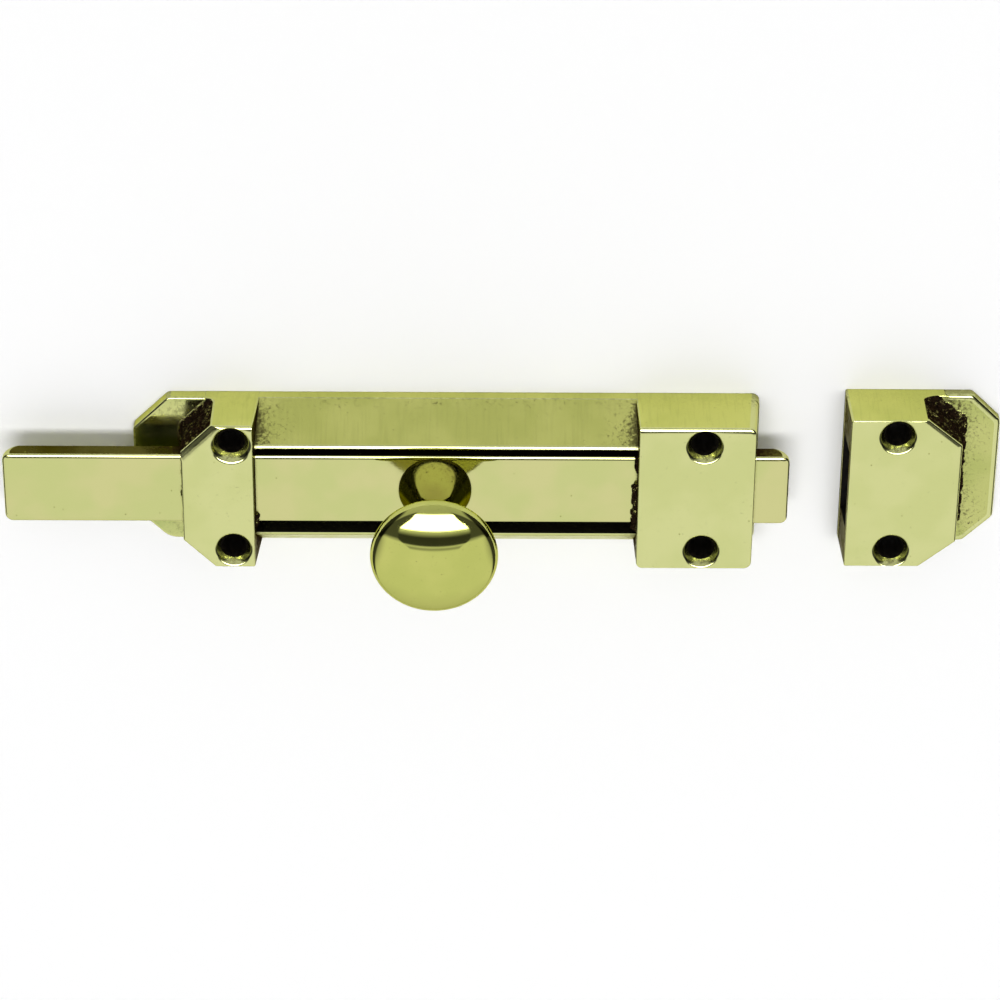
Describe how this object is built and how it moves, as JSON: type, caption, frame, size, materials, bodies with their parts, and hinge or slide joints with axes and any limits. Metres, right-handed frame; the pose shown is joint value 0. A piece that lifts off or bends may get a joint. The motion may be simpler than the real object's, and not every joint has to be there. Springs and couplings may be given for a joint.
{
  "type": "surface slide bolt with keep",
  "caption": "Flat slide bolt in a cast two-guide body, worked by a mushroom knob, with a separate screw-on keep that receives the bolt.",
  "frame": {"origin": "middle of the body's four screw holes, on the mounting face", "axes": "+Z out of the door, away from the mounting face; +X the way the bolt shoots, towards the keep; +Y across the bolt"},
  "size_m": [0.2007, 0.0348, 0.0392],
  "materials": {
    "cast_brass": "polished casting, tarnished in the recesses",
    "bar_brass": "polished, with a fine lengthwise grain",
    "knob_brass": "mirror polished",
    "spring_bronze": "rolled spring bronze",
    "turned_brass": "machined"
  },
  "bodies": {
    "body": {"body_casting": "cast_brass", "friction_spring": "spring_bronze", "spring_rivet": "turned_brass"},
    "bolt": {"bolt_bar": "bar_brass", "knob": "knob_brass", "knob_stud": "turned_brass", "stud_washer": "spring_bronze", "stud_nut": "turned_brass"},
    "keep": {"keep_casting": "cast_brass"}
  },
  "joints": [
    {"name": "bolt_slide", "type": "slide", "parent": "body", "child": "bolt", "axis": [1, 0, 0], "range_m": [-0.0287, 0.0317]},
    {"name": "keep_fitting", "type": "slide", "parent": "body", "child": "keep", "axis": [1, 0, 0], "range_m": [-0.0155, 0.0055]}
  ]
}
